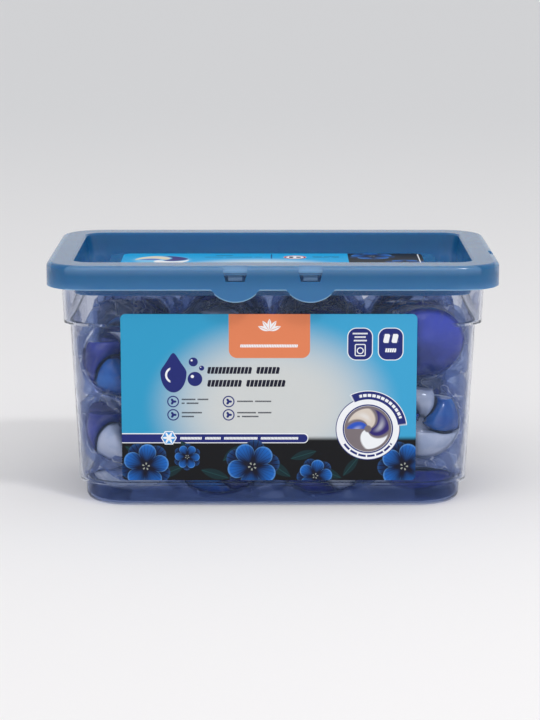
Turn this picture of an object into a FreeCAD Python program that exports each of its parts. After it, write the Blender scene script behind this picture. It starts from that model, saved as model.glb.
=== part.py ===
import FreeCAD, Part
import math
import os
import random

# Laundry pod tub, in millimetres. The origin is the middle of the tub's foot, on the floor.
# The front faces -Y, +X is its right side and +Z is up.

# Tub
collar_length = 212.2  # outside, at the step under the collar
collar_depth = 124.2
collar_corner = 18.4
collar_step = 3.0  # how far each end stands in below the collar
collar_step_height = 94.2
tub_height = 122.9
body_corner = 20.0
foot_corner = 22.5
foot_step_height = 11.6
foot_inset = 2.8
foot_round = 4.0
wall_draft = 2.5  # degrees, the same on all four sides
tub_wall = 1.3
tub_floor = 1.6
bead_reach = 1.8  # the bead round the tub's rim
bead_height = 2.4

# Lid
lid_overhang = 8.1  # the skirt's outside beyond the collar at its step
lid_corner = 22.0
lid_wall = 1.5
skirt_height = 12.1
lid_edge_round = 2.5
rim_gap = 0.3  # between the seal rib and the tub's rim
seal_rib_height = 1.3
seal_rib_width = 1.2
rim_width = 13.3  # flat rim at the ends
rim_width_front = 14.7  # and along the front and the back
well_corner = 10.0
well_depth = 15.5
well_taper = 2.0  # how far each wall of the well leans in towards its floor
well_mouth = 0.8  # bevel round the well's edge
panel_depth = 10.5  # the raised panel's top under the rim
panel_length = 174.0
panel_width = 99.0
panel_corner = 9.0
panel_taper = 1.6
lobe_width = 24.8  # finger lobes that hang under the skirt
lobe_drop = 6.1
lobe_shoulder = 2.2
nub_size = 1.3  # moulding nub under the skirt, near the front right corner
nub_setback = 24.0  # from the lid's front

# Latches: a window in the skirt with a catch of the tub behind it
latch_offset = 18.7  # the two front latches, either side of the middle
side_latch_y = -20.0  # the one on the right end
window_width = 12.0
window_width_low = 9.5
window_drop = 7.9  # the window's sill under the rim
ramp_drop = 3.2
ramp_run = 2.9
ramp_backing = 0.5  # plastic left behind the ramp's top
catch_width = 7.0
catch_gap = 1.0  # between the catch and the inside of the skirt
catch_play = 0.4  # above and below the catch in its window
catch_slope = 0.9

# Hinge
hinge_reach = 3.3  # the pin's axis behind the lid's back edge
hinge_drop = 2.9  # the pin's axis under the skirt's edge
hinge_offset = 45.0
knuckle_length = 12.0
knuckle_wall = 1.45
pin_radius = 1.5
pin_clearance = 0.25
ear_thickness = 3.0
ear_play = 0.3
ear_radius = 2.6
arm_height = 4.0  # how far the knuckle's arm climbs the skirt

# Labels
label_length = 148.8
label_height = 86.3
label_foot = 14.6  # the label's lower edge above the floor
label_shift = -2.0
label_corner = 2.5
label_thick = 0.25
lid_label_length = 161.0
lid_label_width = 94.0
lid_label_corner = 5.0

hair = 0.01  # for finding an edge by its place

# Pods
pod_radius = 21.5  # to the edge of the film seam
seam_thick = 0.8
dome_rise = 9.4
dome_radius = 10.8  # each of the four chambers, at the seam
dome_offset = 9.6
belly_radius = 20.0
belly_depth = 10.0
pod_gap = 0.4  # left between a pod and the tub's walls
settle_gap = 0.75  # left under a pod, straight up from what it lies on
pod_count = 40
head_room = 2.6  # left over the pods, under the lid's well
# Each layer, from the floor up: its share of the room's height, its columns and rows of pods,
# the way the pods lean, seen from above, and how far that way may vary, in degrees
pod_layers = (
    (0.14, 4, 2, 90.0, 18.0),
    (0.385, 4, 4, 90.0, 15.0),
    (0.4, 4, 4, 90.0, 15.0),
)
lean_spread = 2.0  # how far a pod's lean may vary, in degrees
pod_seed = 40

draft = math.tan(math.radians(wall_draft))
lid_length = collar_length + 2 * lid_overhang
lid_depth = collar_depth + 2 * lid_overhang
lid_top = tub_height + rim_gap + seal_rib_height + lid_wall
skirt_foot = lid_top - skirt_height
well_length = lid_length - 2 * rim_width
well_width = lid_depth - 2 * rim_width_front
hinge_y = lid_depth / 2 + hinge_reach
hinge_z = skirt_foot - hinge_drop
inner_skirt_y = lid_depth / 2 - lid_wall

X, Y, Z = FreeCAD.Vector(1, 0, 0), FreeCAD.Vector(0, 1, 0), FreeCAD.Vector(0, 0, 1)


def outline(half_x, half_y, corner, z):
    """A rounded rectangle at one height, as a closed wire."""
    edges, last = [], None
    for number, (side_x, side_y) in enumerate(((1, -1), (1, 1), (-1, 1), (-1, -1))):
        centre = FreeCAD.Vector(side_x * (half_x - corner), side_y * (half_y - corner), z)
        points = []
        for step in range(3):
            angle = math.radians(90 * number - 90 + 45 * step)
            points.append(centre + FreeCAD.Vector(math.cos(angle), math.sin(angle), 0) * corner)
        if last is not None:
            edges.append(Part.makeLine(last, points[0]))
        edges.append(Part.Arc(*points).toShape())
        last = points[2]
    edges.append(Part.makeLine(last, edges[0].Vertexes[0].Point))
    return Part.Wire(edges)


def block(low, high):
    """A solid between two outlines, each given as half length, half depth, corner and height."""
    return Part.makeLoft([outline(*low), outline(*high)], True, True)


def plate(half_x, half_y, corner, thick):
    """A flat plate that lies on the XY plane."""
    return Part.Face(outline(half_x, half_y, corner, 0)).extrude(Z * thick)


def prism(points, direction):
    """A flat outline through the points, pushed along direction."""
    return Part.Face(Part.makePolygon(points + points[:1])).extrude(direction)


def joined(shapes):
    return shapes[0].fuse(shapes[1:]).removeSplitter()


def wall_x(z):
    """Half the outside length of the collar's walls, carried on to any height."""
    return collar_length / 2 + (z - collar_step_height) * draft


def wall_y(z):
    """Half the outside depth of the tub, on the same slope from foot to rim."""
    return collar_depth / 2 + (z - collar_step_height) * draft


def tub_form(inset, floor, top):
    """The tub's outside, or its hollow when inset is the wall's thickness."""
    foot_top = foot_step_height + inset
    shelf = collar_step_height + inset

    def section(z, step_x, step_y, corner):
        return wall_x(z) - step_x - inset, wall_y(z) - step_y - inset, corner - inset, z

    low = section(floor, collar_step + foot_inset, foot_inset, foot_corner)
    high = section(foot_top, collar_step + foot_inset, foot_inset, foot_corner)
    foot = block(low, high)
    rounded = [edge for edge in foot.Edges if edge.BoundBox.ZMax < floor + hair]
    foot = foot.makeFillet(foot_round - inset, rounded)
    body = block(section(foot_top, collar_step, 0, foot_corner), section(shelf, collar_step, 0, body_corner))
    collar = block(section(shelf, 0, 0, collar_corner), section(top, 0, 0, collar_corner))
    return foot, body, collar


def latch_places():
    """Where the latches stand: the middle of each on the lid's outside, and its turn about Z."""
    front = -lid_depth / 2
    return [
        (FreeCAD.Vector(-latch_offset, front, 0), 0),
        (FreeCAD.Vector(latch_offset, front, 0), 0),
        (FreeCAD.Vector(lid_length / 2, side_latch_y, 0), 90),
    ]


def at_latches(shape):
    """A copy of a shape, drawn as if the lid's outside were the XZ plane, at each latch."""
    copies = []
    for place, turn in latch_places():
        copy = shape.copy()
        copy.rotate(FreeCAD.Vector(0, 0, 0), Z, turn)
        copy.translate(place)
        copies.append(copy)
    return copies


def catches():
    """The tub's catches: blocks on the bead, with a sloped top for the lid to ride over."""
    low = lid_top - window_drop + catch_play
    high = lid_top - ramp_drop - lid_wall - catch_play
    tip = lid_wall + catch_gap
    root = lid_overhang
    profile = [
        FreeCAD.Vector(-catch_width / 2, tip, low),
        FreeCAD.Vector(-catch_width / 2, root, low),
        FreeCAD.Vector(-catch_width / 2, root, high),
        FreeCAD.Vector(-catch_width / 2, tip + catch_slope, high),
        FreeCAD.Vector(-catch_width / 2, tip, high - catch_slope),
    ]
    return at_latches(prism(profile, X * catch_width))


def hinge_ears():
    """Two pairs of ears on the collar's back, each pair joined by its pin."""
    pieces = []
    root = wall_y(hinge_z) - tub_wall / 2
    span = knuckle_length / 2 + ear_play
    for side in (-1, 1):
        for end in (-1, 1):
            low_x = side * hinge_offset + (span if end > 0 else -span - ear_thickness)
            corner = FreeCAD.Vector(low_x, root, hinge_z - ear_radius)
            arm = Part.makeBox(ear_thickness, hinge_y - root, 2 * ear_radius, corner)
            tip = Part.makeCylinder(ear_radius, ear_thickness, FreeCAD.Vector(low_x, hinge_y, hinge_z), X)
            pieces += [arm, tip]
        start = FreeCAD.Vector(side * hinge_offset - span, hinge_y, hinge_z)
        pieces.append(Part.makeCylinder(pin_radius, 2 * span, start, X))
    return pieces


def tub():
    """Clear tub, moulded in one with its bead, its catches and its hinge ears and pins."""

    def bead_section(z):
        return wall_x(z) + bead_reach, wall_y(z) + bead_reach, collar_corner + bead_reach, z

    bead = block(bead_section(tub_height - bead_height), bead_section(tub_height))
    outside = joined([*tub_form(0, 0, tub_height), bead, *catches(), *hinge_ears()])
    over = 1.0
    for hollow in tub_form(tub_wall, tub_floor, tub_height + over):
        outside = outside.cut(hollow)
    return outside.removeSplitter()


def skirt_and_rim():
    """The lid's outer form: the skirt and the flat rim, open from below."""
    half_x, half_y = lid_length / 2, lid_depth / 2
    outer = block((half_x, half_y, lid_corner, skirt_foot), (half_x, half_y, lid_corner, lid_top))
    edge = [e for e in outer.Edges if e.BoundBox.ZMin > lid_top - hair]
    outer = outer.makeFillet(lid_edge_round, edge)
    inner = (half_x - lid_wall, half_y - lid_wall, lid_corner - lid_wall)
    return outer.cut(block((*inner, skirt_foot), (*inner, lid_top - lid_wall)))


def well_form(wall, floor):
    """The well's hollow, or the block that its walls are left from when wall is their thickness."""
    half_x, half_y = well_length / 2 + wall, well_width / 2 + wall
    lean = well_taper * (lid_top - floor) / well_depth
    low = (half_x - lean, half_y - lean, well_corner + wall - lean / 2, floor)
    return block(low, (half_x, half_y, well_corner + wall, lid_top))


def panel_form(wall, foot, top):
    """The raised panel in the well's floor, or the room under it."""
    half_x, half_y = panel_length / 2 - wall, panel_width / 2 - wall
    low = (half_x + panel_taper, half_y + panel_taper, panel_corner + panel_taper - wall, foot)
    return block(low, (half_x, half_y, panel_corner - wall, top))


def lobe(centre):
    """A finger lobe under the skirt's front: a shallow arc between two hollow shoulders."""
    half, front = lobe_width / 2, -lid_depth / 2

    def at(x, drop):
        return FreeCAD.Vector(centre + x, front, skirt_foot - drop)

    inner, bend = half - lobe_shoulder, lobe_shoulder * 0.28
    arcs = [
        Part.Arc(at(-half, 0), at(-inner - bend, 1.6 * bend), at(-inner, lobe_shoulder)),
        Part.Arc(at(-inner, lobe_shoulder), at(0, lobe_drop), at(inner, lobe_shoulder)),
        Part.Arc(at(inner, lobe_shoulder), at(inner + bend, 1.6 * bend), at(half, 0)),
    ]
    root = Part.makePolygon([at(half, 0), at(half, -lid_wall), at(-half, -lid_wall), at(-half, 0)])
    wire = Part.Wire([arc.toShape() for arc in arcs] + root.Edges)
    return Part.Face(wire).extrude(Y * lid_wall)


def ramp_blocks():
    """Plastic behind each ramp, on the underside of the rim."""
    width = window_width + 2 * lid_wall
    depth = ramp_run + ramp_backing - lid_wall
    low = lid_top - ramp_drop - lid_wall
    corner = FreeCAD.Vector(-width / 2, lid_wall, low)
    return at_latches(Part.makeBox(width, depth, lid_top - lid_wall - low, corner))


def latch_cuts():
    """What is cut away at each latch: the ramp in the rim's edge and the window below it."""
    over = 1.0
    ramp = [
        FreeCAD.Vector(-window_width / 2, ramp_run, lid_top),
        FreeCAD.Vector(-window_width / 2, ramp_run, lid_top + over),
        FreeCAD.Vector(-window_width / 2, -over, lid_top + over),
        FreeCAD.Vector(-window_width / 2, -over, lid_top - ramp_drop),
        FreeCAD.Vector(-window_width / 2, 0, lid_top - ramp_drop),
    ]
    sill = lid_top - window_drop
    head = lid_top - ramp_drop
    window = [
        FreeCAD.Vector(-window_width / 2, -over, head),
        FreeCAD.Vector(-window_width_low / 2, -over, sill),
        FreeCAD.Vector(window_width_low / 2, -over, sill),
        FreeCAD.Vector(window_width / 2, -over, head),
    ]
    return at_latches(prism(ramp, X * window_width)) + at_latches(prism(window, Y * (lid_wall + over)))


def seal_rib():
    """A rib under the rim that closes on the tub's edge."""
    foot = tub_height + rim_gap
    middle_x, middle_y = wall_x(foot) - tub_wall / 2, wall_y(foot) - tub_wall / 2
    half = seal_rib_width / 2
    corner = collar_corner - tub_wall / 2
    outer = plate(middle_x + half, middle_y + half, corner + half, seal_rib_height)
    ring = outer.cut(plate(middle_x - half, middle_y - half, corner - half, seal_rib_height))
    ring.translate(Z * foot)
    return ring


def knuckles():
    """The lid's two hinge knuckles, each on an arm from the back of the skirt."""
    radius = pin_radius + pin_clearance + knuckle_wall
    slope = radius * math.sqrt(0.5)
    bodies, bores = [], []
    for side in (-1, 1):
        low_x = side * hinge_offset - knuckle_length / 2
        axis = FreeCAD.Vector(low_x, hinge_y, hinge_z)
        arm = [
            FreeCAD.Vector(low_x, inner_skirt_y, hinge_z),
            FreeCAD.Vector(low_x, inner_skirt_y, skirt_foot + arm_height - lid_wall),
            FreeCAD.Vector(low_x, lid_depth / 2, skirt_foot + arm_height),
            FreeCAD.Vector(low_x, hinge_y + slope, hinge_z + slope),
            FreeCAD.Vector(low_x, hinge_y, hinge_z),
        ]
        bodies += [prism(arm, X * knuckle_length), Part.makeCylinder(radius, knuckle_length, axis, X)]
        bores.append(Part.makeCylinder(pin_radius + pin_clearance, knuckle_length, axis, X))
    return bodies, bores


def lid():
    """Blue lid, moulded in one: rim, skirt, well with its raised panel, lobes, windows and knuckles."""
    floor = lid_top - well_depth
    panel_top = lid_top - panel_depth
    bodies, bores = knuckles()
    corner = FreeCAD.Vector(lid_length / 2 - lid_wall, -lid_depth / 2 + nub_setback, skirt_foot - nub_size)
    nub = Part.makeBox(nub_size, 2 * nub_size, nub_size, corner)
    shape = joined([
        skirt_and_rim(), well_form(lid_wall, floor - lid_wall), seal_rib(), *ramp_blocks(),
        lobe(-latch_offset), lobe(latch_offset), *bodies, nub,
    ])
    shape = shape.cut(well_form(0, floor))
    mouth_foot = lid_top - well_mouth
    lean = well_taper * well_mouth / well_depth
    low = (well_length / 2 - lean, well_width / 2 - lean, well_corner, mouth_foot)
    high = (well_length / 2 + well_mouth, well_width / 2 + well_mouth, well_corner + well_mouth, lid_top)
    shape = shape.cut(block(low, high))
    shape = shape.fuse(panel_form(0, floor - lid_wall, panel_top))
    shape = shape.cut(panel_form(lid_wall, floor - lid_wall, panel_top - lid_wall))
    return shape.cut(bores + latch_cuts()).removeSplitter()


def front_label():
    """Printed film on the tub's front wall, leaning with it."""
    shape = plate(label_length / 2, label_height / 2, label_corner, label_thick)
    shape.rotate(FreeCAD.Vector(0, 0, 0), X, 90 + wall_draft)
    middle = label_foot + label_height / 2 * math.cos(math.radians(wall_draft))
    shape.translate(FreeCAD.Vector(label_shift, -wall_y(middle), middle))
    return shape


def lid_label():
    """Printed film on the lid's raised panel."""
    shape = plate(lid_label_length / 2, lid_label_width / 2, lid_label_corner, label_thick)
    shape.translate(Z * (lid_top - panel_depth))
    return shape


def cap(radius, rise):
    """A round cap that stands on the XY plane."""
    ball = (radius**2 + rise**2) / (2 * rise)
    room = 2 * ball
    sphere = Part.makeSphere(ball, FreeCAD.Vector(0, 0, rise - ball))
    return sphere.common(Part.makeBox(room, room, room, FreeCAD.Vector(-ball, -ball, 0)))


def pod():
    """One pod about its own middle: a film seam, four chambers above it and a belly below."""
    seam = Part.makeCylinder(pod_radius, seam_thick, FreeCAD.Vector(0, 0, -seam_thick / 2))
    belly = cap(belly_radius, belly_depth)
    belly.rotate(FreeCAD.Vector(0, 0, 0), X, 180)
    domes = []
    for quarter in range(4):
        dome = cap(dome_radius, dome_rise)
        dome.translate(X * dome_offset)
        dome.rotate(FreeCAD.Vector(0, 0, 0), Z, 90 * quarter + 45)
        domes.append(dome)
    return joined([seam, belly, *domes])


def pod_points():
    """Points spread over one pod's surface, for finding how far it can drop."""
    ball = (dome_radius**2 + dome_rise**2) / (2 * dome_rise)
    belly_ball = (belly_radius**2 + belly_depth**2) / (2 * belly_depth)
    points = []
    for turn in range(0, 360, 6):
        ray = FreeCAD.Vector(math.cos(math.radians(turn)), math.sin(math.radians(turn)), 0)
        points += [ray * pod_radius + Z * seam_thick / 2, ray * pod_radius - Z * seam_thick / 2]
        for share in (0.25, 0.5, 0.75):
            out = share * belly_radius
            points.append(ray * out - Z * (math.sqrt(belly_ball**2 - out**2) - belly_ball + belly_depth))
            out = share * (dome_offset + dome_radius)
            heights = []
            for quarter in range(4):
                angle = math.radians(90 * quarter + 45)
                middle = FreeCAD.Vector(math.cos(angle), math.sin(angle), 0) * dome_offset
                off = (ray * out - middle).Length
                heights.append(math.sqrt(max(ball**2 - off**2, 0)) - ball + dome_rise)
            points.append(ray * out + Z * max(max(heights), seam_thick / 2))
    points += [Z * (-belly_depth)]
    return points


def pod_balls():
    """The round surfaces of one pod: middle, radius and the side of the seam that each lies on."""
    ball = (dome_radius**2 + dome_rise**2) / (2 * dome_rise)
    belly_ball = (belly_radius**2 + belly_depth**2) / (2 * belly_depth)
    balls = [(Z * (belly_ball - belly_depth), belly_ball, -1)]
    for quarter in range(4):
        angle = math.radians(90 * quarter + 45)
        middle = FreeCAD.Vector(math.cos(angle), math.sin(angle), 0) * dome_offset
        balls.append((middle + Z * (dome_rise - ball), ball, 1))
    return balls


def highest(point, place):
    """The height at which a line up through the point leaves the pod at place, or None if it misses."""
    start = place.inverse().multVec(point)
    up = place.inverse().Rotation.multVec(Z)
    best = None
    for middle, radius, side in pod_balls():
        offset = start - middle
        half_b = offset.dot(up)
        rest = half_b**2 - offset.dot(offset) + radius**2
        if rest < 0:
            continue
        for way in (-half_b + math.sqrt(rest), -half_b - math.sqrt(rest)):
            met = start + up * way
            if met.z * side >= 0 and math.hypot(met.x, met.y) <= pod_radius:
                best = way if best is None else max(best, way)
    for level in (-seam_thick / 2, seam_thick / 2):
        if abs(up.z) > 1e-6:
            way = (level - start.z) / up.z
            met = start + up * way
            if math.hypot(met.x, met.y) <= pod_radius:
                best = way if best is None else max(best, way)
    return None if best is None else point.z + best


def floor_under(point):
    """The height of the tub's floor at a point, or of the ledge inside its foot."""
    z = foot_step_height
    corner = foot_corner - tub_wall
    past_x = abs(point.x) - (wall_x(z) - collar_step - foot_inset - foot_corner)
    past_y = abs(point.y) - (wall_y(z) - foot_inset - foot_corner)
    on_ledge = math.hypot(max(past_x, 0), max(past_y, 0)) > corner - draft * z
    return z + tub_wall if on_ledge else tub_floor


def drop(place, placed):
    """How far a pod can fall from place onto the floor or onto the pods already there."""
    here = [place.multVec(point) for point in pod_points()]
    room = min(point.z - floor_under(point) for point in here)
    for other in placed:
        apart = other.Base - place.Base
        if math.hypot(apart.x, apart.y) > 2 * pod_radius:
            continue
        for point in here:
            level = highest(FreeCAD.Vector(point.x, point.y, 0), other)
            if level is not None:
                room = min(room, point.z - level)
        for point in pod_points():
            met = other.multVec(point)
            below = lowest(met, place)
            if below is not None:
                room = min(room, below - met.z)
    return room - settle_gap


def lowest(point, place):
    """The height at which a line up through the point enters the pod at place, or None if it misses."""
    flipped = FreeCAD.Placement(FreeCAD.Vector(0, 0, 0), FreeCAD.Rotation(X, 180))
    level = highest(flipped.multVec(point), flipped.multiply(place))
    return None if level is None else -level


def half_spread(rotation, way):
    """How far a turned pod reaches from its middle along one way."""
    return max(abs(rotation.multVec(point).dot(way)) for point in pod_points())


def off_corner(spot, rotation, edge_x, edge_y, corner):
    """Moves a pod's middle inwards until the pod clears the tub's rounded corner."""
    turned = [rotation.multVec(point) for point in pod_points()]
    for step in range(4):
        over = 0
        for point in turned:
            past_x = abs(spot.x + point.x) - edge_x + corner
            past_y = abs(spot.y + point.y) - edge_y + corner
            if past_x > 0 and past_y > 0:
                over = max(over, math.hypot(past_x, past_y) - corner)
        spot = spot - FreeCAD.Vector(math.copysign(over, spot.x), math.copysign(over, spot.y), 0) * 0.75
    return spot


def pod_places():
    """Where the pods lie: layer by layer, in rows from wall to wall, each one then dropped."""
    chance = random.Random(pod_seed)
    placed = []
    level = tub_floor
    pod_room = lid_top - well_depth - lid_wall - head_room - tub_floor
    for share, columns, rows, turn, spread in pod_layers:
        height = share * pod_room
        upright = math.degrees(math.acos(min(height / (2 * pod_radius), 0.95)))
        inset = tub_wall + pod_gap + (foot_inset if level < foot_step_height else 0)
        edge_x = wall_x(level) - collar_step - inset
        edge_y = wall_y(level) - inset
        sides = [chance.choice((-1, 1)) for column in range(columns)]
        for row in range(rows):
            turns = []
            for side in sides:
                lean = upright + chance.uniform(-lean_spread, lean_spread)
                rotation = FreeCAD.Rotation(Z, turn + chance.uniform(-spread, spread))
                rotation = rotation.multiply(FreeCAD.Rotation(Y, side * (90 - lean)))
                turns.append(rotation.multiply(FreeCAD.Rotation(Z, chance.uniform(0, 360))))
            halves = [half_spread(rotation, X) for rotation in turns]
            shares = [chance.uniform(0.3, 1) for gap in range(columns + 1)]
            if row == 0:
                shares[0] = shares[-1] = 0
            slack = (2 * edge_x - 2 * sum(halves)) / sum(shares)
            x = slack * shares[0] - edge_x
            for column, rotation in enumerate(turns):
                x += halves[column]
                reach_y = edge_y - half_spread(rotation, Y)
                y = reach_y * (2 * row / (rows - 1) - 1)
                spot = FreeCAD.Vector(x, y, tub_height + pod_radius)
                spot = off_corner(spot, rotation, edge_x, edge_y, body_corner - inset)
                place = FreeCAD.Placement(spot, rotation)
                place.Base = place.Base - Z * drop(place, placed)
                placed.append(place)
                x += halves[column] + slack * shares[column + 1]
        level += height
    return placed[:pod_count]


def save(name, shape):
    shape.exportStep(os.path.join("parts", name + ".step"))
    print(name, shape.isValid(), len(shape.Solids), round(shape.Volume / 1000, 2), "ml")


os.makedirs("parts", exist_ok=True)
save("tub", tub())
save("lid", lid())
save("front_label", front_label())
save("lid_label", lid_label())
one_pod = pod()
for number, place in enumerate(pod_places(), start=1):
    shape = one_pod.copy()
    shape.Placement = place
    save(f"pod_{number:02d}", shape)
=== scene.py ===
# %% [markdown]
# # A tub of laundry pods
# The object is a clear plastic tub with a hinged blue lid, two printed labels and forty pods.
# The packed CAD model is loaded first and is never moved: it says where each piece is.
# This lesson gives every piece its finish, and makes the soft pods anew from their rule.

# %% Load the frame
import math
import random

import bmesh
import bpy
import numpy as np
from mathutils import Matrix, Vector


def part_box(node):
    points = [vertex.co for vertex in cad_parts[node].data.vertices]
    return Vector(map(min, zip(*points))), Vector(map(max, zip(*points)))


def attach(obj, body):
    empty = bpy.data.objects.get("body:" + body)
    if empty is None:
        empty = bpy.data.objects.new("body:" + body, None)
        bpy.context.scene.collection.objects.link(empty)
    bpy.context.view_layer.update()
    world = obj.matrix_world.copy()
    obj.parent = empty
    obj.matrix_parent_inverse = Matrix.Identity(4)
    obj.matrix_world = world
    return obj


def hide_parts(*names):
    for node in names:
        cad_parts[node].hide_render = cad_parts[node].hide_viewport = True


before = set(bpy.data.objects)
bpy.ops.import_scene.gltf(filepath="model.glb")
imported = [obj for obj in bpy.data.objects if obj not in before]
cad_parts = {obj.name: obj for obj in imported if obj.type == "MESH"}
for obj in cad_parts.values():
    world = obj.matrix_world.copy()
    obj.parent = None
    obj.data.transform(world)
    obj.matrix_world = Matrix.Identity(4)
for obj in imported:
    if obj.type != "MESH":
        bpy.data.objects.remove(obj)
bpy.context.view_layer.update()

# %% [markdown]
# ## Node trees as sums
# A material could be wired node by node, but a long formula is then hard to read. The small
# class below wraps one socket, so that adding or multiplying two of them adds a Math node. The
# same class serves shader trees and Geometry Nodes trees.

# %% A socket that can be added and multiplied
class Wire:
    """One number, colour or vector that runs through a node tree."""

    def __init__(self, graph, socket):
        self.graph, self.socket = graph, socket

    def math(self, operation, *others):
        return self.graph.node("ShaderNodeMath", {"operation": operation}, [self, *others])

    def also(self, name):
        """Another output of the node that this wire comes from."""
        return Wire(self.graph, self.socket.node.outputs[name])

    def __add__(self, other):
        return self.math("ADD", other)

    def __sub__(self, other):
        return self.math("SUBTRACT", other)

    def __rsub__(self, other):
        return self.graph.node("ShaderNodeMath", {"operation": "SUBTRACT"}, [other, self])

    def __mul__(self, other):
        return self.math("MULTIPLY", other)

    def __truediv__(self, other):
        return self.math("DIVIDE", other)

    def __neg__(self):
        return self * -1

    def __abs__(self):
        return self.math("ABSOLUTE")

    def __pow__(self, other):
        return self.math("POWER", other)

    __radd__ = __add__
    __rmul__ = __mul__


class Graph:
    """A node tree that takes a node's type, its settings and its sockets' values in one call."""

    def __init__(self, tree):
        self.tree = tree

    def node(self, kind, settings=None, values=(), output=0):
        made = self.tree.nodes.new(kind)
        for name, setting in (settings or {}).items():
            setattr(made, name, setting)
        pairs = values.items() if isinstance(values, dict) else enumerate(values)
        for key, value in pairs:
            if isinstance(value, Wire):
                self.tree.links.new(value.socket, made.inputs[key])
            else:
                made.inputs[key].default_value = value
        return Wire(self, made.outputs[output]) if made.outputs else made

    def mix(self, share, under, over):
        """One colour over another."""
        settings = {"data_type": "RGBA", "clamp_factor": True}
        return self.node("ShaderNodeMix", settings, {0: share, 6: under, 7: over}, 2)

    def smooth(self, value, low, high):
        """0 below low, 1 above high, and an eased step between them."""
        settings = {"interpolation_type": "SMOOTHSTEP", "clamp": False}
        return self.node("ShaderNodeMapRange", settings, [value, low, high, 0.0, 1.0])


def colour(red, green, blue, alpha=1.0):
    """A colour as a picture program gives it, 0 to 255, turned into the linear one that nodes use."""
    linear = []
    for part in (red, green, blue):
        part = part / 255
        linear.append(part / 12.92 if part <= 0.04045 else ((part + 0.055) / 1.055) ** 2.4)
    return (*linear, alpha)


print("helpers for sums ready")


# %% Helpers that every finish uses
def new_material(name):
    """A material with an empty tree, its graph and its output node."""
    made = bpy.data.materials.new(name)
    made.use_nodes = True
    made.node_tree.nodes.clear()
    graph = Graph(made.node_tree)
    end = made.node_tree.nodes.new("ShaderNodeOutputMaterial")
    return made, graph, end


def finish_with(graph, end, shader):
    """Links a shader to the material's output."""
    graph.tree.links.new(shader.socket, end.inputs["Surface"])


def object_place(graph):
    """The surface's place in metres, as one vector and as its three numbers."""
    place = graph.node("ShaderNodeTexCoord", output="Object")
    apart = graph.node("ShaderNodeSeparateXYZ", values=[place])
    return place, apart, apart.also("Y"), apart.also("Z")


def noise(graph, place, scale, detail=2.0, roughness=0.5):
    """Soft random values, scale of them to the metre."""
    values = {"Vector": place, "Scale": scale, "Detail": detail, "Roughness": roughness}
    return graph.node("ShaderNodeTexNoise", {}, values)


def bump(graph, height, distance, strength=1.0):
    """A surface that looks raised where height is high, by distance in metres."""
    values = {"Strength": strength, "Distance": distance, "Height": height}
    return graph.node("ShaderNodeBump", {}, values)


def new_object(name, data):
    """An object that shows its data in the scene."""
    made = bpy.data.objects.new(name, data)
    bpy.context.scene.collection.objects.link(made)
    return made


def dress(name, material):
    """Gives one carried-over CAD node its finish."""
    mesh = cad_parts[name].data
    mesh.materials.clear()
    mesh.materials.append(material)


print("helpers for finishes ready")

# %% [markdown]
# ## Camera and light
# The photograph was taken from a little over a metre away, ten degrees above the tub. A long
# lens from there keeps the tub's sides almost parallel. The light is a broad soft one from above
# and in front, over an even surround, so a colour renders about as it is written. A small soft
# box high on the right adds sharper glints than so wide a sun gives.

# %% Camera
LENS_MM = 123.2
CAMERA_PLACE = (-0.00141, -1.2789, 0.3046)
CAMERA_DROP = 10.58      # how many degrees the camera looks down

camera_data = bpy.data.cameras.new("camera")
camera_data.lens = LENS_MM
camera = new_object("camera", camera_data)
camera.location = CAMERA_PLACE
camera.rotation_euler = (math.radians(90 - CAMERA_DROP), 0, 0)
bpy.context.scene.camera = camera
bpy.context.scene.view_settings.view_transform = "Standard"
print("camera", [round(v, 4) for v in camera.location])

# %% Lamps
SUN_STRENGTH, SUN_WIDTH = 0.85, math.radians(60)
SUN_TURN = (math.radians(38), math.radians(-12), 0)
BOX_POWER, BOX_WIDTH, BOX_HEIGHT = 5.0, 0.22, 0.16
BOX_PLACE, BOX_AIM = Vector((0.45, -0.75, 1.25)), Vector((0, 0, 0.06))

key_data = bpy.data.lights.new("key", "SUN")
key_data.energy, key_data.angle = SUN_STRENGTH, SUN_WIDTH
key = new_object("key", key_data)
key.rotation_euler = SUN_TURN

box_data = bpy.data.lights.new("soft box", "AREA")
box_data.shape, box_data.size, box_data.size_y = "RECTANGLE", BOX_WIDTH, BOX_HEIGHT
box_data.energy = BOX_POWER
box = new_object("soft box", box_data)
box.location = BOX_PLACE
box.rotation_euler = (BOX_AIM - BOX_PLACE).to_track_quat("-Z", "Y").to_euler()
print("lamps:", key.name, "and", box.name)

# %% The surround, brighter to the eye than to the object
LAMP_STRENGTH, BACKDROP = 0.62, colour(222, 222, 222)

world = bpy.data.worlds.new("surround")
world.use_nodes = True
world.node_tree.nodes.clear()
sky = Graph(world.node_tree)
ray = sky.node("ShaderNodeLightPath")
seen = ray.math("MAXIMUM", ray.also("Is Glossy Ray")).math("MAXIMUM", ray.also("Is Transmission Ray"))
lamp = sky.node("ShaderNodeBackground", {}, [(0.97, 0.98, 1.0, 1.0), LAMP_STRENGTH])
backdrop = sky.node("ShaderNodeBackground", {}, [BACKDROP, 1.0])
both = sky.node("ShaderNodeMixShader", {}, [seen, lamp, backdrop])
world_end = world.node_tree.nodes.new("ShaderNodeOutputWorld")
world.node_tree.links.new(both.socket, world_end.inputs["Surface"])
bpy.context.scene.world = world
print("surround:", world.name)

# %% Floor
FLOOR_REACH, FLOOR_CORNERS = 10, 96

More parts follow.
